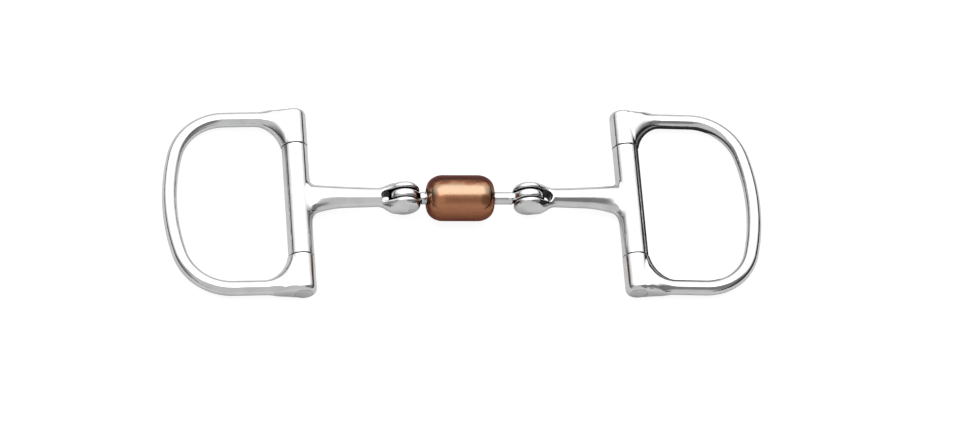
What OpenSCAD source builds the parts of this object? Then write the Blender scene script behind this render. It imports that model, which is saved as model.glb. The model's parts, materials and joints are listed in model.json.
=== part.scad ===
// Double-jointed dee-ring snaffle bit with a copper roller, lying flat on a table.
// X runs along the mouthpiece, Y along the hinge pins, Z is up and the table is z = 0.
// The origin is on the table under the middle of the centre link.

/* [Mouthpiece] */
// Mouth width between the two barrels, with the mouthpiece pulled straight
mouth_w = 127; // [114:1:140]
// Diameter of the barrel sleeve at the end of each cannon
barrel_d = 10.6; // [10:0.1:10.6]
// Length of the barrel sleeve
barrel_len = 49.6; // [46:0.2:51]
// Diameter of the cannon's arm where it meets the barrel
arm_d = 8.4; // [7.6:0.1:8.6]
// Diameter of the cannon's arm where it leaves the fork
arm_slim_d = 7.2; // [6.6:0.1:7.6]
// How far the arm's line passes towards +Y from the middle of its knuckle
arm_shift = 0.4; // [0.1:0.1:0.8]
// How much the arm slants towards +Y as it runs out, in degrees
arm_slant = 3.9; // [2:0.1:4.4]

/* [Knuckles] */
// Distance from the link's middle to each fold axis
fold_x = 25.7; // [25:0.1:28]
// Radius of the round knuckle
knuckle_r = 6.5; // [6:0.1:7]
// Width of the knuckle along its rivet
knuckle_w = 10.4; // [9.6:0.1:11]
// Thickness of the link's tongue
tongue_w = 3.9; // [3.4:0.1:4.4]
// Diameter of the knuckle's rivet
rivet_d = 3.6; // [3:0.1:4]

/* [Roller] */
// Largest diameter of the copper roller
roller_d = 18.8; // [17:0.1:20]
// Length of the roller
roller_len = 27.2; // [22:0.1:27.6]
// Where the roller has come to rest along the link, from its middle
roller_shift = -2.7; // [-4:0.1:4]
// Diameter of the shank that the roller turns on
shank_d = 5.2; // [4.8:0.1:5.4]

/* [Dee] */
// Height of the dee over its two bosses
dee_h = 82.4; // [80:0.2:86]
// Distance from the hinge axis to the middle of the bow's upright side
dee_depth = 52; // [50:0.1:56]
// Diameter of the bow's bar
bow_d = 6.1; // [5.8:0.1:6.4]
// Bend radius of the bow's two corners
corner_r = 21.5; // [19:0.5:23]
// Radius of the bow's gently curved upright side
side_r = 84; // [70:1:100]
// Diameter of the bored bosses at the ends of the bow
boss_d = 10.8; // [10.7:0.1:11]
// How far the boss's end stands past the limb's outer edge
boss_proud = 0.1; // [0.1:0.1:1]

/* [Hinge pin] */
// Diameter of the hinge pin
pin_d = 5.4; // [5:0.1:5.6]
// Diameter of the pin's countersunk, peened ends
pin_head_d = 7.2; // [6.6:0.1:7.4]

/* [Hidden] */
$fn = 64;
run_fit = 0.08;          // radial play of a turning fit
end_gap = 0.2;           // gap between the end of a barrel and its boss
side_gap = 0.25;         // gap between the tongue and each cheek of its fork
crotch_gap = 2.6;        // open space between the tongue's edge and the bottom of the slot
neck_gap = 0.35;         // gap between the round cheeks and the shank's shoulder
neck_h = 4.2;            // height of the flat neck between the shank and a tongue
tongue_relief = 0.1;     // how much smaller the tongue's disc is than the knuckle's cheeks
fork_len = 16;           // length over which the fork narrows into the arm
root_len = 12;           // length over which the arm widens into its barrel
root_stop = 1;           // how far short of the hinge axis the widening stops
arm_stop = 2.7;          // how far short of the hinge axis the arm stops, inside the barrel
web_len = 24;            // length of the web along the arm's -Y side
web_w = 3.1;             // how far the web's slim stretch reaches towards -Y
web_reach = 7;           // how far down the barrel the web reaches
web_t = 5.8;             // thickness of the web
waist_r = 2.6;           // radius at which those two flares end, inside the arm
pin_head_h = 1.2;        // depth of the hinge pin's countersunk heads
rivet_head_d = 4.8;      // diameter of the rivet's countersunk heads
rivet_head_h = 0.8;      // depth of the rivet's countersunk heads
edge_r = 0.9;            // rounding on the bosses' outer edges
knuckle_edge = 2.2;      // rounding on the knuckle's outer edges
roller_end_r = 5.5;      // rounding of the roller's ends
roller_play = 0.3;       // radial play of the roller on its shank
flare_start = 1.5;       // where a limb's flare starts, from the hinge axis
flare_len = 17;          // length over which a limb flares into its boss
inset = 0.3;             // how far a flare stays inside the piece that it runs into
press_play = 0.01;       // radial play of a pin or rivet in the piece that holds it
over = 2;                // how far a cutter runs past what it cuts
lap = 0.4;               // how far one bar of the bow runs into the next
seat = 0.04;             // how much slimmer a bend is than the bars that lap over its ends
arc_steps = 10;          // chords in a quarter of a turned profile's rounding

link_z = roller_d / 2;                                // height of the link's axis
hinge_z = boss_d / 2;                                 // height of the hinge axes
arm_len = mouth_w / 2 + barrel_d / 2 - fold_x;        // fold axis to hinge axis
arm_tilt = asin((link_z - hinge_z) / arm_len);        // how the cannons slope down
hinge_x = fold_x + arm_len * cos(arm_tilt);           // hinge axis from the middle
dee_tilt = asin((hinge_z - bow_d / 2) / dee_depth);   // how the dees slope down
limb_y = dee_h / 2 - boss_proud - bow_d / 2;          // centre line of the straight limbs
corner_y = limb_y - corner_r;                         // centre of a corner bend
corner_x = dee_depth - side_r + sqrt(pow(side_r - corner_r, 2) - pow(corner_y, 2));
side_angle = asin(corner_y / (side_r - corner_r));    // where corner and side meet
slot_end = knuckle_r + crotch_gap;                    // fold axis to the slot's bottom

// A quarter round of radius r whose centre is at c, from angle a0, as [x, y] points
function quarter(c, r, a0) =
  [for (i = [0 : arc_steps]) c + r * [cos(a0 - 90 * i / arc_steps), sin(a0 - 90 * i / arc_steps)]];

// Turns an [x, radius] outline about X
module turned_x(points) {
  rotate([0, 90, 0])
    rotate_extrude()
      polygon([for (p = points) [p[1], p[0]]]);
}

// Turns a [radius, y] outline about Y
module turned_y(points) {
  rotate([-90, 0, 0])
    rotate_extrude()
      polygon(points);
}

// A bar of diameter d bent through angle a at radius r, starting at angle a0
module bent_bar(r, d, a0, a) {
  rotate([0, 0, a0])
    rotate_extrude(angle = a)
      translate([r, 0])
        circle(d = d);
}

// Draws its children on the upper side, and again mirrored on the lower side
module on_both_sides() {
  children();
  mirror([0, 1, 0])
    children();
}

// Carries a cannon's own frame to its tilted place: x runs outward from the fold axis
module on_arm() {
  translate([fold_x, 0, link_z])
    rotate([0, arm_tilt, 0])
      children();
}

// Carries a dee's own frame to its tilted place: x runs outward from the hinge axis
module on_hinge() {
  translate([hinge_x, 0, hinge_z])
    rotate([0, dee_tilt, 0])
      children();
}

// A pin along Y with countersunk heads, grown by play all round
module headed_pin(d, head_d, head_h, len, play) {
  r = d / 2 + play;
  head = head_d / 2 + play;
  half = len / 2;
  turned_y([[0, -half], [head, -half], [r, -half + head_h],
            [r, half - head_h], [head, half], [0, half]]);
}

module hinge_pin(play) {
  headed_pin(pin_d, pin_head_d, pin_head_h, dee_h, play);
}

module knuckle_rivet(play) {
  headed_pin(rivet_d, rivet_head_d, rivet_head_h, knuckle_w, play);
}

// A bored boss from the barrel's end to the top of the dee, with a rounded outer edge
module boss() {
  r = boss_d / 2;
  top = dee_h / 2;
  base = barrel_len / 2 + end_gap;
  turned_y(concat([[0, top]], quarter([r - edge_r, top - edge_r], edge_r, 90),
                  [[r, base], [0, base]]));
}

// The bow: two bosses, two straight limbs that flare into them, two bends and the upright side
module dee_bow() {
  flare_r = boss_d / 2 - inset;
  slim_r = bow_d / 2 - seat;
  flare_angle = atan((flare_r - slim_r) / flare_len);
  lap_angle = lap / side_r * 180 / PI;
  difference() {
    union() {
      on_both_sides() {
        boss();
        translate([0, limb_y, 0])
          rotate([0, 90, 0])
            cylinder(h = corner_x + lap, d = bow_d);
        translate([flare_start, limb_y + slim_r - flare_r, 0])
          rotate([0, 90, flare_angle])
            cylinder(h = flare_len, r1 = flare_r, r2 = slim_r);
        translate([corner_x, corner_y, 0])
          bent_bar(corner_r, 2 * slim_r, side_angle, 90 - side_angle);
      }
      translate([dee_depth - side_r, 0, 0])
        bent_bar(side_r, bow_d, -side_angle - lap_angle, 2 * (side_angle + lap_angle));
    }
    hinge_pin(press_play);
  }
}

// The arm's widening into its barrel, as [x, radius] points on a quarter of an ellipse
function root_points(x, r) =
  [for (i = [0 : arc_steps])
    let (a = 90 * i / arc_steps)
    [x - root_len * (1 - sin(a)), r - (r - waist_r) * cos(a)]];

// The web along the arm's -Y side, which braces it against the barrel
module web(face) {
  linear_extrude(height = web_t, center = true)
    polygon([[face - web_len, 0], [face - web_len, -web_w], [face - root_len, -web_w],
             [face + over, -web_reach], [face + over, 0]]);
}

// The cannon: forked round knuckle, arm that flares at both ends and bored barrel sleeve
module cannon() {
  half_w = knuckle_w / 2;
  neck_r = half_w - inset;
  root_r = barrel_d / 2 - inset;
  face = arm_len - barrel_d / 2;
  rim = [knuckle_r - knuckle_edge, half_w - knuckle_edge];
  difference() {
    union() {
      turned_y(concat([[0, half_w]], quarter(rim, knuckle_edge, 90),
                      quarter([rim[0], -rim[1]], knuckle_edge, 0), [[0, -half_w]]));
      turned_x(concat([[0, 0], [0, neck_r], [knuckle_r / 2, neck_r], [fork_len, waist_r]],
                      root_points(face, root_r),
                      [[arm_len - root_stop, root_r], [arm_len - root_stop, 0]]));
      translate([0, arm_shift, 0])
        rotate([0, 0, arm_slant])
          turned_x([[0, 0], [0, neck_r - arm_shift - inset], [fork_len, arm_slim_d / 2],
                    [arm_len - arm_stop, arm_d / 2], [arm_len - arm_stop, 0]]);
      web(face);
      translate([arm_len, 0, 0])
        rotate([90, 0, 0])
          cylinder(h = barrel_len, d = barrel_d, center = true);
    }
    translate([slot_end / 2 - knuckle_r, 0, 0])
      cube([slot_end + 2 * knuckle_r, tongue_w + 2 * side_gap, 3 * knuckle_r], center = true);
    knuckle_rivet(press_play);
    translate([arm_len, 0, 0])
      rotate([90, 0, 0])
        cylinder(h = barrel_len + over, r = pin_d / 2 + run_fit, center = true);
  }
}

// The centre link: a round shank with a bored, round tongue at each end
module link() {
  shoulder = fold_x - knuckle_r - neck_gap;
  translate([0, 0, link_z])
    difference() {
      union() {
        rotate([0, 90, 0])
          cylinder(h = 2 * shoulder, d = shank_d, center = true);
        for (s = [-1, 1])
          translate([s * fold_x, 0, 0])
            rotate([90, 0, 0])
              cylinder(h = tongue_w, r = knuckle_r - tongue_relief, center = true);
        cube([2 * (fold_x - knuckle_r / 2), tongue_w, neck_h], center = true);
      }
      for (s = [-1, 1])
        translate([s * fold_x, 0, 0])
          rotate([90, 0, 0])
            cylinder(h = tongue_w + over, r = rivet_d / 2 + run_fit, center = true);
    }
}

// The roller: a barrel with large rounded ends and a plain bore
module roller() {
  half = roller_len / 2;
  cx = half - roller_end_r;
  cr = roller_d / 2 - roller_end_r;
  translate([roller_shift, 0, link_z])
    difference() {
      turned_x(concat([[-half, 0]], quarter([-cx, cr], roller_end_r, 180),
                      quarter([cx, cr], roller_end_r, 90), [[half, 0]]));
      rotate([0, 90, 0])
        cylinder(h = roller_len + over, r = shank_d / 2 + roller_play, center = true);
    }
}

module right_dee_bow() { color("gainsboro") on_hinge() dee_bow(); }
module right_hinge_pin() { color("silver") on_hinge() hinge_pin(0); }
module right_cannon() { color("whitesmoke") on_arm() cannon(); }
module right_knuckle_rivet() { color("darkgray") on_arm() knuckle_rivet(0); }
module left_dee_bow() { mirror([1, 0, 0]) right_dee_bow(); }
module left_hinge_pin() { mirror([1, 0, 0]) right_hinge_pin(); }
module left_cannon() { mirror([1, 0, 0]) right_cannon(); }
module left_knuckle_rivet() { mirror([1, 0, 0]) right_knuckle_rivet(); }
module centre_link() { color("silver") link(); }
module copper_roller() { color("peru") roller(); }

left_dee_bow();
left_hinge_pin();
left_cannon();
left_knuckle_rivet();
centre_link();
copper_roller();
right_knuckle_rivet();
right_cannon();
right_hinge_pin();
right_dee_bow();
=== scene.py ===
import json
import math

import bpy
import numpy as np
from mathutils import Matrix, Vector


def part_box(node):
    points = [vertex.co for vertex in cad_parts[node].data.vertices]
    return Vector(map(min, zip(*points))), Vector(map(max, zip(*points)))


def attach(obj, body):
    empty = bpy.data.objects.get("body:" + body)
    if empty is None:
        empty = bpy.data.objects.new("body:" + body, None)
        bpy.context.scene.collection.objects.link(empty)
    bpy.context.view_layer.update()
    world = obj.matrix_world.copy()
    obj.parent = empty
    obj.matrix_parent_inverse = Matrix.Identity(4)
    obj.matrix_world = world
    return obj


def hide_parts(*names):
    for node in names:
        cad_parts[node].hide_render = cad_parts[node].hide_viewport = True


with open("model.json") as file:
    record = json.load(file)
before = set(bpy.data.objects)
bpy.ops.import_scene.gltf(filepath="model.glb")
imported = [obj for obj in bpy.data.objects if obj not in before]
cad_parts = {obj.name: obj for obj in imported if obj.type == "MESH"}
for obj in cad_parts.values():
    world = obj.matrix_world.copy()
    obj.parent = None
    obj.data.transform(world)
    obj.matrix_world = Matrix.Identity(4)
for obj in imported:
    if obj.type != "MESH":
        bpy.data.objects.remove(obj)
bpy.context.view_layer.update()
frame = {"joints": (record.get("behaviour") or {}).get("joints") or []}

MM = 0.001

# ---------------------------------------------------------------- sizes read from the frame, in mm
JOINTS = {j["name"]: j for j in frame["joints"]}
FOLD_AT = Vector(JOINTS["right_fold"]["pos_m"]) / MM
HINGE_AT = Vector(JOINTS["right_dee_turn"]["pos_m"]) / MM


def box_mm(node):
    low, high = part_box(node)
    return Vector(low) / MM, Vector(high) / MM


ARM_LEN = (HINGE_AT - FOLD_AT).length
ARM_TILT = math.asin((FOLD_AT.z - HINGE_AT.z) / ARM_LEN)
PIN_BOX = box_mm("right_hinge_pin")
DEE_TOP = PIN_BOX[1].y
ROLLER_BOX = box_mm("copper_roller")

# the sizes that the box of a node doesn't give
BOW_R = 3.05              # the bow's bar
BOSS_R = HINGE_AT.z       # the boss lies on the table
BOSS_PROUD = 0.1          # the boss's end stands this far past the limb
BARREL_R = 5.3
BARREL_HALF = 24.8        # half the barrel's length
END_GAP = 0.2             # between a barrel's end and its boss
DEE_DEPTH = 52.0          # hinge axis to the middle of the curved side's bar
CORNER_R = 21.5
SIDE_R = 84.0
LIMB_FLARE = 16.0         # length in which the limb grows into the boss
LIMB_Y = DEE_TOP - BOSS_PROUD - BOW_R
DEE_TILT = math.asin((HINGE_AT.z - BOW_R) / DEE_DEPTH)
PIN_R = 2.7
PIN_HEAD_R = 3.6
PIN_HEAD_H = 1.2
PIN_CROWN = 0.12          # height of the peened domes
KNUCKLE_R = 6.5
KNUCKLE_HALF = 5.2        # half the knuckle's length along its rivet
KNUCKLE_EDGE = 2.2
TONGUE_HALF = 1.95        # half the tongue's thickness
TONGUE_EDGE = 1.8
SLOT_HALF = 2.2           # half the slot's width
SLOT_END = 9.1            # fold axis to the slot's bottom
SLOT_EDGE = 1.1
RIVET_R = 1.8
RIVET_HEAD_R = 2.4
RIVET_HEAD_H = 0.8
RIVET_CROWN = 0.1
SHANK_R = 2.6
NECK_GAP = 0.35           # between the cheeks and the shank's shoulder
NECK_HALF = 2.1           # half the thickness of the neck behind each tongue
NECK_LEN = 8.0
ARM_R = 3.6               # the arm's bar at the fork
ARM_ROOT_R = 4.2          # the arm's bar at the barrel
ARM_SHIFT = 1.1           # how far up the dee the bar starts
ARM_RISE = 1.9            # how much further up it ends
WEB_W = 3.0               # how far the web reaches below the middle
PRESS_PLAY = 0.02         # radial play of a pin or rivet in the piece that holds it
RUN_PLAY = 0.08           # radial play of a turning fit
ROLLER_PLAY = 0.3         # radial play of the roller on its shank
EDGE = 0.3                # the common rounding of turned edges
HOLE_EDGE = 0.1           # rounding where a pin's or rivet's hole comes out


# ---------------------------------------------------------------- distance fields
def smooth_min(a, b, k):
    """Union of two distances with a fillet about k wide."""
    k = np.maximum(k, 0.02)
    h = np.clip(k - np.abs(a - b), 0, None)
    return np.minimum(a, b) - h * h / (4 * k)


def smooth_max(a, b, k):
    """Intersection of two distances with an edge rounded about k wide."""
    return -smooth_min(-a, -b, k)


def ease(t):
    """0 up to t = 0, 1 from t = 1, and smooth between."""
    t = np.clip(t, 0, 1)
    return t * t * (3 - 2 * t)


def rod(radial, along, r, half, edge):
    """A round rod of radius r and half length half with edges rounded by edge."""
    dr = radial - (r - edge)
    da = np.abs(along) - (half - edge)
    outside = np.hypot(np.maximum(dr, 0), np.maximum(da, 0))
    return outside + np.minimum(np.maximum(dr, da), 0) - edge


def near_arc(x, y, cx, cy, r, a0, a1):
    """Distance in the plane to an arc of radius r about (cx, cy) from angle a0 to a1."""
    dx, dy = x - cx, y - cy
    angle = np.arctan2(dy, dx)
    held = np.clip(angle, a0, a1)
    return np.hypot(dx - r * np.cos(held), dy - r * np.sin(held))


def crossing(z, one, other):
    """0 where two rods that cross at right angles run side by side, 1 where they meet squarely."""
    return 1 - z * z / np.maximum(one * other, 1e-6)


# ---------------------------------------------------------------- from a field to a mesh
CORNERS = [(i, j, k) for i in (0, 1) for j in (0, 1) for k in (0, 1)]


def net_of(field, low, high, step):
    """A closed quad net round a field's zero surface, with one vertex in each cell it crosses."""
    axes = [np.arange(low[n] - 2 * step, high[n] + 3 * step, step) for n in range(3)]
    f = field(*np.meshgrid(*axes, indexing="ij"))
    inside = f < 0
    cells = tuple(n - 1 for n in f.shape)

    def corner(values, c):
        return values[tuple(slice(c[n], c[n] + cells[n]) for n in range(3))]

    total = np.zeros(cells + (3,))
    count = np.zeros(cells)
    for a in CORNERS:
        for n in range(3):
            if a[n]:
                continue
            b = tuple(v + (m == n) for m, v in enumerate(a))
            fa, fb = corner(f, a), corner(f, b)
            crossed = corner(inside, a) != corner(inside, b)
            part = np.where(crossed, fa / np.where(crossed, fa - fb, 1), 0)
            count += crossed
            for m in range(3):
                total[..., m] += crossed * (a[m] + (part if m == n else 0))
    active = count > 0
    number = np.full(cells, -1)
    number[active] = np.arange(active.sum())
    where = np.argwhere(active)
    start = np.array([a[0] for a in axes])
    points = start + step * (where + total[active] / count[active][:, None])
    quads = []
    for n in range(3):
        u, v = (n + 1) % 3, (n + 2) % 3
        lower = [slice(1, -1)] * 3
        upper = [slice(1, -1)] * 3
        lower[n], upper[n] = slice(0, -1), slice(1, None)
        a, b = inside[tuple(lower)], inside[tuple(upper)]
        at = np.argwhere(a != b)
        flip = b[tuple(at.T)]
        at[:, u] += 1
        at[:, v] += 1
        ring = []
        for du, dv in ((-1, -1), (0, -1), (0, 0), (-1, 0)):
            cell = at.copy()
            cell[:, u] += du
            cell[:, v] += dv
            ring.append(number[tuple(cell.T)])
        ring = np.stack(ring, 1)
        ring[flip] = ring[flip][:, ::-1]
        quads.append(ring)
    return points, np.concatenate(quads)


def slope(field, p, eps=0.02):
    """The field's gradient at points, by central differences eps to each side."""
    g = np.empty_like(p)
    for n in range(3):
        off = np.zeros(3)
        off[n] = eps
        g[:, n] = (field(*(p + off).T) - field(*(p - off).T)) / (2 * eps)
    return g


def onto(field, p, rounds=3):
    """Moves points onto the field's zero surface."""
    for _ in range(rounds):
        g = slope(field, p)
        size = np.maximum((g * g).sum(1), 0.05)
        p = p - g * (field(*p.T) / size)[:, None]
    return p


def even_out(field, p, quads, rounds=6):
    """Slides the net's points along the surface until they are evenly spread."""
    ends = np.concatenate([quads[:, [n, (n + 1) % 4]] for n in range(4)])
    one, other = ends.T
    degree = np.bincount(one, minlength=len(p)) + np.bincount(other, minlength=len(p))
    for _ in range(rounds):
        mean = np.zeros_like(p)
        for n in range(3):
            mean[:, n] = np.bincount(one, p[other, n], len(p)) + np.bincount(other, p[one, n], len(p))
        p = onto(field, 0.4 * p + 0.6 * mean / degree[:, None], 1)
    return onto(field, p, 2)


def field_piece(name, field, low, high, step, place):
    """A smooth mesh of a field given in its own frame in mm, carried to the world by place."""
    p, quads = net_of(field, low, high, step)
    p = even_out(field, onto(field, p), quads)
    normals = slope(field, p)
    normals /= np.linalg.norm(normals, axis=1)[:, None]
    move = np.array(place)
    turn, shift = move[:3, :3], move[:3, 3]
    world = (p @ turn.T + shift) * MM
    if np.linalg.det(turn) < 0:
        quads = quads[:, ::-1]
    mesh = bpy.data.meshes.new(name)
    mesh.from_pydata(world.tolist(), [], quads.tolist())
    mesh.polygons.foreach_set("use_smooth", [True] * len(mesh.polygons))
    mesh.normals_split_custom_set_from_vertices((normals @ turn.T).tolist())
    obj = bpy.data.objects.new(name, mesh)
    bpy.context.scene.collection.objects.link(obj)
    return obj


def turned_piece(name, outline, place, sides):
    """A turned mesh about the local X axis from [x, radius] points, closed where the radius is 0."""
    points, faces, rings = [], [], []
    for x, r in outline:
        if r < 1e-6:
            rings.append([len(points)] * sides)
            points.append((x, 0, 0))
            continue
        rings.append(list(range(len(points), len(points) + sides)))
        for n in range(sides):
            a = 2 * math.pi * n / sides
            points.append((x, r * math.cos(a), r * math.sin(a)))
    pairs = list(zip(rings, rings[1:]))
    if outline[0][1] > 1e-6:
        pairs.append((rings[-1], rings[0]))
    for near, far in pairs:
        for n in range(sides):
            m = (n + 1) % sides
            ring = [near[n], near[m], far[m], far[n]]
            faces.append(list(dict.fromkeys(ring)))
    mesh = bpy.data.meshes.new(name)
    mesh.from_pydata([(place @ Vector(p)) * MM for p in points], [], faces)
    mesh.polygons.foreach_set("use_smooth", [True] * len(mesh.polygons))
    obj = bpy.data.objects.new(name, mesh)
    bpy.context.scene.collection.objects.link(obj)
    return obj


# ---------------------------------------------------------------- where each piece's own frame stands
def turn_y(angle):
    return Matrix.Rotation(angle, 4, "Y")


def on_side(side, place):
    """The right side's place for side 1, or its mirror image for side -1."""
    return Matrix.Diagonal((side, 1, 1, 1)) @ place


ARM_PLACE = Matrix.Translation(FOLD_AT) @ turn_y(ARM_TILT)
DEE_PLACE = Matrix.Translation(HINGE_AT) @ turn_y(DEE_TILT)
LINK_PLACE = Matrix.Translation((0, 0, FOLD_AT.z))


# ---------------------------------------------------------------- the dee
LIMB_SHY = 0.1            # the flared limb stays this far inside the boss's round
BOSS_FILLET = 10.0        # between the limb and the boss
BOSS_FILLET_FROM = 4.0    # the fillet is full this far from the hinge axis
END_ROUND = 2.6           # rounding of the limb's edge where it leaves the boss's flat end
END_FROM, END_TO = 4.0, 12.0   # the rounding fades out between these distances from the hinge axis
INNER_EDGE = 0.4          # rounding of the boss's end that faces the barrel


def dee_field(x, y, z):
    """The bow with its origin on the hinge axis, that axis along y, and the curved side at +x."""
    up = np.abs(y)
    corner_y = LIMB_Y - CORNER_R
    reach = SIDE_R - CORNER_R
    corner_x = DEE_DEPTH - SIDE_R + math.sqrt(reach**2 - corner_y**2)
    side_a = math.asin(corner_y / reach)
    grown = (BOSS_R - LIMB_SHY - BOW_R) * ease(1 - x / LIMB_FLARE)
    off = up - LIMB_Y + grown
    beside = np.hypot(off, z)
    limb = np.hypot(x - np.clip(x, 0, corner_x), beside) - BOW_R - grown
    corner = near_arc(x, up, corner_x, corner_y, CORNER_R, side_a, math.pi / 2)
    side = near_arc(x, up, DEE_DEPTH - SIDE_R, 0, SIDE_R, -side_a, side_a)
    bar = np.minimum(limb, np.hypot(np.minimum(corner, side), z) - BOW_R)
    radial = np.hypot(x, z)
    fillet = BOSS_FILLET * crossing(z, radial, beside) * ease(x / BOSS_FILLET_FROM)
    d = smooth_min(bar, radial - BOSS_R, fillet)
    d = smooth_max(d, up - DEE_TOP, END_ROUND * ease((END_TO - x) / (END_TO - END_FROM)))
    base = BARREL_HALF + END_GAP
    d = np.where(x < DEE_DEPTH / 2, smooth_max(d, base - up, INNER_EDGE), d)
    bore = np.maximum(radial - PIN_R - PRESS_PLAY, up - DEE_TOP + PIN_HEAD_H)
    return smooth_max(d, -bore, HOLE_EDGE)


# ---------------------------------------------------------------- the cannon
FORK_LEN, FORK_EASE = 11.5, 9.0            # where the web's widening at the fork ends, and over what length
ROOT_LEN = 15.0                            # the web widens over this length in front of the barrel
ARM_FROM = 10.0                            # the bar rises and thickens from here to the barrel
RISE_BEND = 1.3                            # 1 would be a straight rise
WEB_TOP, WEB_HALF = 2.0, 2.8               # the web's upper edge and half thickness between its widenings
FORK_UP, FORK_DOWN, FORK_HALF = 2.9, 1.9, 1.8   # how much wider up, down and in thickness at the fork
ROOT_UP, ROOT_DOWN, ROOT_HALF = 3.5, 2.6, 0.8   # and at the barrel
WEB_FILLET, BARREL_FILLET, DRUM_FILLET = 1.6, 3.0, 5.0
SLOT_ROUND = 2.4                           # rounding of the slot's inner corners


def cannon_field(x, y, z):
    """The cannon with its origin on the fold axis, that axis along y, and the barrel at +x."""
    face = ARM_LEN - BARREL_R
    fork = ease((FORK_LEN - x) / FORK_EASE)
    root = np.clip((x - face + ROOT_LEN) / ROOT_LEN, 0, 1)
    along = np.clip((x - ARM_FROM) / (face - ARM_FROM), 0, 1)
    bar_y = ARM_SHIFT + ARM_RISE * along**RISE_BEND
    beside = np.hypot(y - bar_y, z)
    bar = beside - ARM_R - (ARM_ROOT_R - ARM_R) * along
    high = WEB_TOP + FORK_UP * fork + ROOT_UP * root
    low = -WEB_W - FORK_DOWN * fork - ROOT_DOWN * root**2
    half_z = WEB_HALF + FORK_HALF * fork + ROOT_HALF * root
    across = np.hypot((y - (high + low) / 2) / ((high - low) / 2), z / half_z)
    web = (across - 1) * half_z
    arm = np.maximum(smooth_min(bar, web, WEB_FILLET), np.maximum(-x, x - ARM_LEN))
    from_hinge = np.hypot(x - ARM_LEN, z)
    from_fold = np.hypot(x, z)
    barrel = rod(from_hinge, y, BARREL_R, BARREL_HALF, EDGE)
    drum = rod(from_fold, y, KNUCKLE_R, KNUCKLE_HALF, KNUCKLE_EDGE)
    fillet = BARREL_FILLET * ease((ARM_LEN - x) / BARREL_FILLET)
    d = smooth_min(arm, barrel, fillet * crossing(z, beside, from_hinge))
    d = smooth_min(d, drum, DRUM_FILLET * crossing(z, beside, from_fold))
    d = smooth_max(d, np.abs(y) - BARREL_HALF, EDGE)
    slot = smooth_max(np.abs(y) - SLOT_HALF, x - SLOT_END, SLOT_ROUND)
    d = smooth_max(d, -slot, SLOT_EDGE)
    d = smooth_max(d, PIN_R + RUN_PLAY - from_hinge, EDGE)
    hole = np.maximum(from_fold - RIVET_R - PRESS_PLAY, np.abs(y) - KNUCKLE_HALF + RIVET_HEAD_H)
    return smooth_max(d, -hole, HOLE_EDGE)


# ---------------------------------------------------------------- the centre link
DISC_SHY = 0.1            # the tongue's disc is this much smaller than the knuckle's drum
NECK_FILLET, SHANK_FILLET = 2.0, 0.8
SHANK_EDGE, EYE_EDGE = 0.6, 0.2


def link_field(x, y, z):
    """The link about its own middle, with its shank along x and its two rivet holes along y."""
    far = np.abs(x)
    from_fold = np.hypot(far - FOLD_AT.x, z)
    shoulder = FOLD_AT.x - KNUCKLE_R - NECK_GAP
    shank = rod(np.hypot(y, z), x, SHANK_R, shoulder, SHANK_EDGE)
    disc = from_fold - (KNUCKLE_R - DISC_SHY)
    neck = np.maximum(np.abs(z) - NECK_HALF, np.maximum(far - FOLD_AT.x, FOLD_AT.x - NECK_LEN - far))
    tongue = smooth_min(disc, neck, NECK_FILLET)
    tongue = smooth_max(tongue, np.abs(y) - TONGUE_HALF, TONGUE_EDGE)
    d = smooth_min(shank, tongue, SHANK_FILLET)
    return smooth_max(d, RIVET_R + RUN_PLAY - from_fold, EYE_EDGE)


# ---------------------------------------------------------------- making the pieces
# the material slots
STEEL, PINS, COPPER = "polished_steel", "pin_steel", "copper"


def finish_piece(obj, body, slot, node):
    """Gives a piece its material, and says what it rides on and which CAD node it replaces."""
    obj.data.materials.append(MATERIALS[slot])
    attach(obj, body)
    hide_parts(node)


def pin_outline(half, r, head_r, head_h, crown):
    """A pin with countersunk ends peened into low domes, as [x, radius] points."""
    dome = []
    for n in range(9):
        t = n / 8
        dome.append((half + crown * (1 - t * t), head_r * t))
    end = dome + [(half - 0.05, head_r - 0.03), (half - head_h, r)]
    return [(-x, y) for x, y in end] + end[::-1]


def roller_outline():
    """The roller's length section as [x, radius]: rounded shoulders, dished ends and a plain bore."""
    low, high = ROLLER_BOX
    half = (high.x - low.x) / 2
    top = (high.z - low.z) / 2
    round_x, round_r = 6.5, 5.0       # the shoulder's length and depth
    dish, rim = 1.1, 0.12             # depth of the dished end, and of the small edge round it
    bore_r = SHANK_R + ROLLER_PLAY
    end = [(half - dish - EDGE, bore_r), (half - dish, bore_r + EDGE), (half - rim, top - round_r - 0.25)]
    for n in range(33):
        a = math.pi / 2 * n / 32
        end.append((half - round_x * (1 - math.cos(a)), top - round_r * (1 - math.sin(a))))
    flat = [((half - round_x) * (1 - n / 6), top) for n in range(1, 12)]
    return end + flat + [(-x, r) for x, r in end[::-1]]


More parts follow.
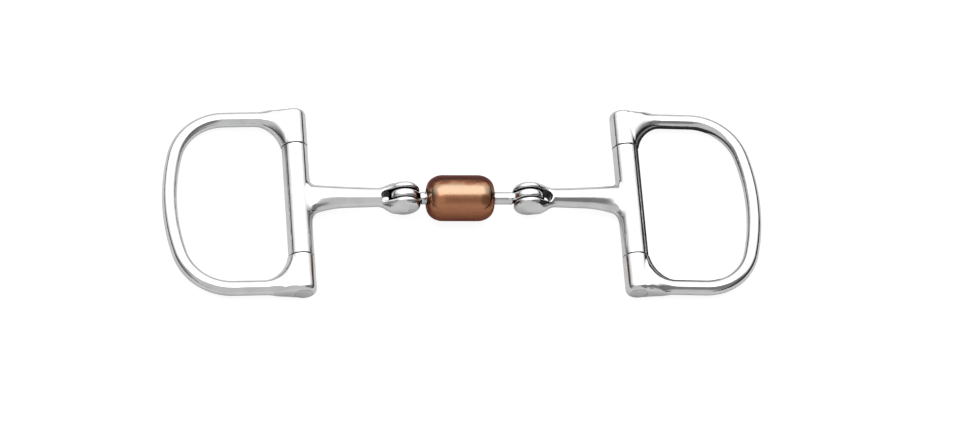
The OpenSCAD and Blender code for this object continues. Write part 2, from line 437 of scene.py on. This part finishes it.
def steel_material(name, colour, smooth, rough_max):
    """Polished steel: hazy patches, fine scratches both ways, and painted shade in slots, gaps and corners.
    """
    mat = bpy.data.materials.new(name)
    mat.use_nodes = True
    tree = mat.node_tree
    shader = tree.nodes["Principled BSDF"]
    shader.inputs["Metallic"].default_value = 1.0
    place = tree.nodes.new("ShaderNodeTexCoord").outputs["Object"]
    haze = noise(tree, place, (150, 150, 150), 4, 0.55)
    along = noise(tree, place, (60, 2600, 2600), 3, 0.6)
    across = noise(tree, place, (2600, 60, 2600), 3, 0.6)
    fine = ((0.60, 0), (0.74, 1))
    scratches = mix_value(tree, "MAXIMUM", ramp(tree, along, fine), ramp(tree, across, fine))
    rough = remap(tree, haze, 0.3, 0.7, smooth, rough_max)
    rough = mix_value(tree, "MULTIPLY_ADD", scratches, 0.10, rough)
    tree.links.new(rough, shader.inputs["Roughness"])
    darker = [c * 0.90 for c in colour]
    tone = ramp(tree, haze, ((0.35, darker), (0.62, colour)))
    # the hazy tone is darkened by painted shade in gaps, slots, corners and near the table
    tone = mix_colour(tree, "MULTIPLY", 1.0, tone, painted_shade(tree))
    tree.links.new(tone, shader.inputs["Base Color"])
    bump = tree.nodes.new("ShaderNodeBump")
    bump.inputs["Strength"].default_value = 0.05
    bump.inputs["Distance"].default_value = 0.0002
    tree.links.new(scratches, bump.inputs["Height"])
    tree.links.new(bump.outputs["Normal"], shader.inputs["Normal"])
    return mat


# how far the two layers of painted shade look, in metres
SHADE_REACH, SLOT_REACH = 0.004, 0.009


def painted_shade(tree):
    """Painted shade: white in the open, nearly black deep in gaps between pieces and in a piece's own
    slots, and darker near the table.
    """
    layers = []
    for reach, own_only, stops in ((SHADE_REACH, False, ((0.25, 0.02), (0.5, 0.3), (0.72, 1.0))),
                                   (SLOT_REACH, True, ((0.4, 0.02), (0.62, 0.14), (0.86, 1.0)))):
        open_sky = tree.nodes.new("ShaderNodeAmbientOcclusion")
        open_sky.samples = 12
        open_sky.only_local = own_only
        open_sky.inputs["Distance"].default_value = reach
        layers.append(ramp(tree, open_sky.outputs["AO"], stops))
    return mix_colour(tree, "MULTIPLY", 1.0, *layers)


def noise(tree, place, scale, detail, roughness):
    """A noise texture's value, with its own scale along each axis."""
    spread = tree.nodes.new("ShaderNodeMapping")
    spread.inputs["Scale"].default_value = scale
    texture = tree.nodes.new("ShaderNodeTexNoise")
    texture.inputs["Scale"].default_value = 1.0
    texture.inputs["Detail"].default_value = detail
    texture.inputs["Roughness"].default_value = roughness
    tree.links.new(place, spread.inputs["Vector"])
    tree.links.new(spread.outputs["Vector"], texture.inputs["Vector"])
    return texture.outputs["Fac"]


def ramp(tree, value, stops):
    """A colour ramp with (position, grey or colour) stops."""
    node = tree.nodes.new("ShaderNodeValToRGB")
    elements = node.color_ramp.elements
    while len(elements) < len(stops):
        elements.new(0.5)
    for element, (position, colour) in zip(elements, stops):
        element.position = position
        grey = isinstance(colour, (int, float))
        element.color = (colour, colour, colour, 1) if grey else (*colour, 1)
    tree.links.new(value, node.inputs["Fac"])
    return node.outputs["Color"]


def mix_value(tree, operation, *values):
    """A math node on sockets or numbers."""
    node = tree.nodes.new("ShaderNodeMath")
    node.operation = operation
    for n, value in enumerate(values):
        if isinstance(value, (int, float)):
            node.inputs[n].default_value = value
        else:
            tree.links.new(value, node.inputs[n])
    return node.outputs["Value"]


def remap(tree, value, a, b, c, d):
    """Maps a value from a..b to c..d."""
    node = tree.nodes.new("ShaderNodeMapRange")
    for n, number in enumerate((a, b, c, d)):
        node.inputs[n + 1].default_value = number
    tree.links.new(value, node.inputs["Value"])
    return node.outputs["Result"]


def mix_colour(tree, kind, factor, one, other):
    """A colour mix of two sockets or colours; a MIX goes from one to the other as factor rises."""
    node = tree.nodes.new("ShaderNodeMix")
    node.data_type = "RGBA"
    node.blend_type = kind
    for socket, value in ((node.inputs[0], factor), (node.inputs[6], one), (node.inputs[7], other)):
        if isinstance(value, (int, float)):
            socket.default_value = value
        elif isinstance(value, tuple):
            socket.default_value = (*value, 1)
        else:
            tree.links.new(value, socket)
    return node.outputs[2]


def copper_material():
    """Turned copper with random lengthwise tarnish, painted shade by the angle round its axis, a painted
    highlight stripe, a painted dark reflection at its right end and a thin film.
    """
    mat = bpy.data.materials.new("copper")
    mat.use_nodes = True
    tree = mat.node_tree
    shader = tree.nodes["Principled BSDF"]
    shader.inputs["Metallic"].default_value = 1.0
    shader.inputs["Specular Tint"].default_value = (0.55, 0.30, 0.20, 1)
    shader.inputs["Coat Weight"].default_value = 0.2
    shader.inputs["Coat Roughness"].default_value = 0.16
    shader.inputs["Coat IOR"].default_value = 1.8
    place = tree.nodes.new("ShaderNodeTexCoord").outputs["Object"]
    parts = tree.nodes.new("ShaderNodeSeparateXYZ")
    tree.links.new(place, parts.inputs["Vector"])
    height = mix_value(tree, "SUBTRACT", parts.outputs["Z"], FOLD_AT.z * MM)
    angle = mix_value(tree, "ARCTAN2", parts.outputs["Y"], height)
    mottle = noise(tree, place, (260, 420, 420), 5, 0.6)
    streak = noise(tree, place, (70, 1500, 1500), 4, 0.6)
    turned = noise(tree, place, (3200, 25, 25), 3, 0.55)
    warped = mix_value(tree, "MULTIPLY_ADD", mottle, 0.5, mix_value(tree, "SUBTRACT", angle, 0.25))
    around = remap(tree, warped, -math.pi, math.pi, 0, 1)
    # painted shade: by the angle round the roller's axis the copper is darkened most on the upper back,
    # across its front side and under it, and least on the front of its top
    painted_shade_by_angle = ramp(tree, around, ((0.0, 0.55), (0.11, 0.35), (0.25, 0.65), (0.30, 0.5), (0.33, 0.25),
                                  (0.364, 0.0), (0.483, 0.0), (0.519, 0.35), (0.542, 0.5),
                                  (0.564, 0.85), (0.60, 0.95), (0.69, 0.7), (0.80, 0.2), (1.0, 0.55)))
    # random patina patches and lengthwise streaks, added to the painted shade to make the tone
    patchy = mix_value(tree, "MULTIPLY_ADD", mottle, 0.5, -0.45)
    patchy = mix_value(tree, "MULTIPLY_ADD", streak, 0.4, patchy)
    tone = mix_value(tree, "ADD", painted_shade_by_angle, patchy)
    colour = ramp(tree, tone, ((0.0, (0.36, 0.145, 0.068)), (0.35, (0.245, 0.088, 0.038)),
                               (0.75, (0.11, 0.037, 0.015)), (1.0, (0.05, 0.016, 0.008))))
    # painted highlight: a pale stripe along the top of the roller
    painted_highlight_stripe = ramp(tree, around, ((0.435, 0.0), (0.462, 1.0), (0.515, 1.0), (0.545, 0.0)))
    colour = mix_colour(tree, "MIX", painted_highlight_stripe, colour, (0.25, 0.165, 0.105))
    # painted dark reflection: a near-black patch over the roller's last 3 mm at the right, on the front of
    # its top
    right_end = ROLLER_BOX[1].x * MM
    ends = remap(tree, parts.outputs["X"], right_end - 0.003, right_end - 0.001, 0.0, 1.0)
    painted_dark_reflection = ramp(tree, around, ((0.40, 0.0), (0.43, 1.0), (0.47, 1.0), (0.49, 0.0)))
    painted_dark_reflection = mix_value(tree, "MULTIPLY", ends, painted_dark_reflection)
    colour = mix_colour(tree, "MIX", painted_dark_reflection, colour, (0.03, 0.008, 0.006))
    # painted shade in gaps beside the roller and near the table
    colour = mix_colour(tree, "MULTIPLY", 1.0, colour, painted_shade(tree))
    tree.links.new(colour, shader.inputs["Base Color"])
    rough = mix_value(tree, "MULTIPLY_ADD", tone, 0.14, remap(tree, turned, 0.3, 0.7, 0.17, 0.27))
    tree.links.new(rough, shader.inputs["Roughness"])
    bump = tree.nodes.new("ShaderNodeBump")
    bump.inputs["Strength"].default_value = 0.12
    bump.inputs["Distance"].default_value = 0.0002
    grain = mix_value(tree, "MULTIPLY_ADD", turned, 0.7, mix_value(tree, "MULTIPLY", streak, 0.6))
    tree.links.new(grain, bump.inputs["Height"])
    tree.links.new(bump.outputs["Normal"], shader.inputs["Normal"])
    return mat


MATERIALS = {
    STEEL: steel_material("polished_steel", (0.56, 0.56, 0.565), 0.06, 0.11),
    PINS: steel_material("pin_steel", (0.50, 0.50, 0.505), 0.14, 0.24),
    COPPER: copper_material(),
}

STEP = 0.34    # the field pieces' cells, in mm
ALONG_Y = Matrix.Rotation(math.pi / 2, 4, "Z")
for side, word in ((-1, "left"), (1, "right")):
    arm_place, dee_place = on_side(side, ARM_PLACE), on_side(side, DEE_PLACE)
    bow = field_piece(word + "_bow", dee_field, (-6, -42, -6), (56, 42, 6), STEP, dee_place)
    finish_piece(bow, word + "_dee", STEEL, word + "_dee_bow")
    cannon = field_piece(word + "_arm", cannon_field, (-7, -26, -7), (49, 26, 7), STEP, arm_place)
    finish_piece(cannon, word + "_cannon", STEEL, word + "_cannon")
    pin = turned_piece(word + "_peened_pin", pin_outline(DEE_TOP, PIN_R, PIN_HEAD_R, PIN_HEAD_H, PIN_CROWN),
                       dee_place @ ALONG_Y, 96)
    finish_piece(pin, word + "_dee", PINS, word + "_hinge_pin")
    rivet = turned_piece(word + "_rivet",
                         pin_outline(KNUCKLE_HALF, RIVET_R, RIVET_HEAD_R, RIVET_HEAD_H, RIVET_CROWN),
                         arm_place @ ALONG_Y, 96)
    finish_piece(rivet, word + "_cannon", PINS, word + "_knuckle_rivet")
link = field_piece("link", link_field, (-33, -4, -8), (33, 4, 8), 0.28, LINK_PLACE)
finish_piece(link, "link", STEEL, "centre_link")
roller_x = (ROLLER_BOX[0].x + ROLLER_BOX[1].x) / 2
roller = turned_piece("roller", roller_outline(), Matrix.Translation((roller_x, 0, FOLD_AT.z)), 160)
finish_piece(roller, "roller", COPPER, "copper_roller")

# ---------------------------------------------------------------- floor, light, camera
FLOOR = 4      # half the floor's side, in metres
floor_mesh = bpy.data.meshes.new("floor")
floor_mesh.from_pydata([(-FLOOR, -FLOOR, 0), (FLOOR, -FLOOR, 0), (FLOOR, FLOOR, 0), (-FLOOR, FLOOR, 0)],
                       [], [(0, 1, 2, 3)])
floor = bpy.data.objects.new("floor", floor_mesh)
bpy.context.scene.collection.objects.link(floor)


def paper_material():
    """White paper that glows to the eye, to show hardly any shadow, and is nearly plain in reflections."""
    mat = bpy.data.materials.new("paper")
    mat.use_nodes = True
    tree = mat.node_tree
    shader = tree.nodes["Principled BSDF"]
    mirrored = tree.nodes.new("ShaderNodeLightPath").outputs["Is Glossy Ray"]
    base, base_more = 0.14, 0.32      # the grey seen directly, and what reflections add to it
    glow, glow_less = 0.9, -0.75      # the glow seen directly, and what reflections take from it
    tree.links.new(mix_value(tree, "MULTIPLY_ADD", mirrored, base_more, base), shader.inputs["Base Color"])
    tree.links.new(mix_value(tree, "MULTIPLY_ADD", mirrored, glow_less, glow),
                   shader.inputs["Emission Strength"])
    shader.inputs["Emission Color"].default_value = (1, 1, 1, 1)
    shader.inputs["Roughness"].default_value = 0.9
    return mat


floor.data.materials.append(paper_material())

world = bpy.data.worlds.new("studio")
bpy.context.scene.world = world
world.use_nodes = True


DARK_OPENING = (0.84, -0.70, 1.0)      # the direction of the tent's opening


def studio_light(tree):
    """A white tent: bright behind and above, softer in front with a dark opening, dim at the sides."""
    way = tree.nodes.new("ShaderNodeTexCoord").outputs["Generated"]
    parts = tree.nodes.new("ShaderNodeSeparateXYZ")
    tree.links.new(way, parts.inputs["Vector"])
    slit = math.radians(28)
    behind = mix_value(tree, "MULTIPLY_ADD", parts.outputs["Y"], math.cos(slit),
                       mix_value(tree, "MULTIPLY", parts.outputs["Z"], math.sin(slit)))
    behind = remap(tree, behind, -1, 1, 0, 1)
    light = ramp(tree, behind, ((0.0, 0.45), (0.60, 0.45), (0.72, 1.0), (1.0, 0.95)))
    across = remap(tree, parts.outputs["X"], -1, 1, 0, 1)
    toward = tree.nodes.new("ShaderNodeVectorMath")
    toward.operation = "DOT_PRODUCT"
    tree.links.new(way, toward.inputs[0])
    toward.inputs[1].default_value = Vector(DARK_OPENING).normalized()
    opening = ramp(tree, toward.outputs["Value"], ((0.86, 1.0), (0.93, 0.36)))
    light = mix_colour(tree, "MULTIPLY", 1.0, light, opening)
    sides = ramp(tree, across, ((0.0, 0.2), (0.03, 0.35), (0.06, 0.5), (0.10, 0.72), (0.15, 1.0),
                                (0.84, 1.0), (0.89, 0.72), (0.93, 0.5), (0.96, 0.35), (1.0, 0.15)))
    light = mix_colour(tree, "MULTIPLY", 1.0, light, sides)
    low = ramp(tree, parts.outputs["Z"], ((0.0, 0.25), (0.12, 0.3), (0.3, 1.0)))
    rear = ramp(tree, remap(tree, parts.outputs["Y"], -1, 1, 0, 1), ((0.4, 0.0), (0.6, 1.0)))
    low = mix_colour(tree, "MIX", rear, (1.0, 1.0, 1.0), low)
    light = mix_colour(tree, "MULTIPLY", 1.0, light, low)
    tree.links.new(light, tree.nodes["Background"].inputs["Color"])
    tree.nodes["Background"].inputs["Strength"].default_value = 2.0


studio_light(world.node_tree)


def area_light(name, at, towards, size_x, size_y, power):
    """A lamp that reflections see and the camera doesn't."""
    lamp = bpy.data.lights.new(name, "AREA")
    lamp.shape = "RECTANGLE"
    lamp.size, lamp.size_y, lamp.energy = size_x, size_y, power
    obj = bpy.data.objects.new(name, lamp)
    obj.location = at
    obj.rotation_euler = (Vector(towards) - Vector(at)).to_track_quat("-Z", "Y").to_euler()
    obj.visible_camera = False
    bpy.context.scene.collection.objects.link(obj)


area_light("softbox", (-0.05, 0.28, 1.1), (0, 0, 0), 1.6, 1.0, 10)


def black_card(name, corners):
    """A dark card that only reflections see."""
    mesh = bpy.data.meshes.new(name)
    mesh.from_pydata(corners, [], [(0, 1, 2, 3)])
    card = bpy.data.objects.new(name, mesh)
    bpy.context.scene.collection.objects.link(card)
    black = bpy.data.materials.new(name)
    black.use_nodes = True
    shader = black.node_tree.nodes["Principled BSDF"]
    shader.inputs["Base Color"].default_value = (0.01, 0.01, 0.01, 1)
    shader.inputs["Roughness"].default_value = 1.0
    mesh.materials.append(black)
    card.visible_camera = card.visible_diffuse = card.visible_shadow = False


# two cards stand at the sides, and one lies on the table inside the right dee as a painted shadow, a dark
# sheet where the table lies in shade (all in metres)
SIDE_CARD_Y = 0.5
for name, x, height in (("right_card", 0.30, 0.09), ("left_card", -0.40, 0.05)):
    black_card(name, [(x, -SIDE_CARD_Y, 0), (x, SIDE_CARD_Y, 0),
                      (x, SIDE_CARD_Y, height), (x, -SIDE_CARD_Y, height)])
CARD_X0, CARD_X1, CARD_Y, CARD_Z = 0.0745, 0.104, 0.036, 0.0001
black_card("dee_shadow_card", [(CARD_X0, -CARD_Y, CARD_Z), (CARD_X1, -CARD_Y, CARD_Z),
                        (CARD_X1, CARD_Y, CARD_Z), (CARD_X0, CARD_Y, CARD_Z)])

# the camera looks down on the table: its angles, its distance in metres and the scale of the picture
VIEW_A, VIEW_E, VIEW_ROLL = math.radians(-10.7), math.radians(-26.2), math.radians(4.65)
VIEW_DIST = 2.03
PX_PER_MM = 2.45
FRAME_W, FRAME_H = 964, 422
ORIGIN_X, ORIGIN_Y = 463.1, 208.5     # where the world's origin comes in the picture, from its top left
SENSOR_W = 36
back = Vector((math.sin(VIEW_A) * math.cos(VIEW_E), math.sin(VIEW_E),
               math.cos(VIEW_A) * math.cos(VIEW_E)))
right = Vector((math.cos(VIEW_A), 0, -math.sin(VIEW_A)))
up = back.cross(right)
camera_data = bpy.data.cameras.new("camera")
camera_data.sensor_width = SENSOR_W
camera_data.lens = PX_PER_MM * VIEW_DIST / MM * SENSOR_W / FRAME_W
camera_data.shift_x = (FRAME_W / 2 - ORIGIN_X) / FRAME_W
camera_data.shift_y = (ORIGIN_Y - FRAME_H / 2) / FRAME_W
camera_data.clip_end = 20
camera = bpy.data.objects.new("camera", camera_data)
bpy.context.scene.collection.objects.link(camera)
roll = Matrix.Rotation(-VIEW_ROLL, 3, "Z")
axes = Matrix((right, up, back)).transposed() @ roll
camera.matrix_world = Matrix.Translation(back * VIEW_DIST) @ axes.to_4x4()
bpy.context.scene.camera = camera
bpy.context.scene.view_settings.view_transform = "Standard"
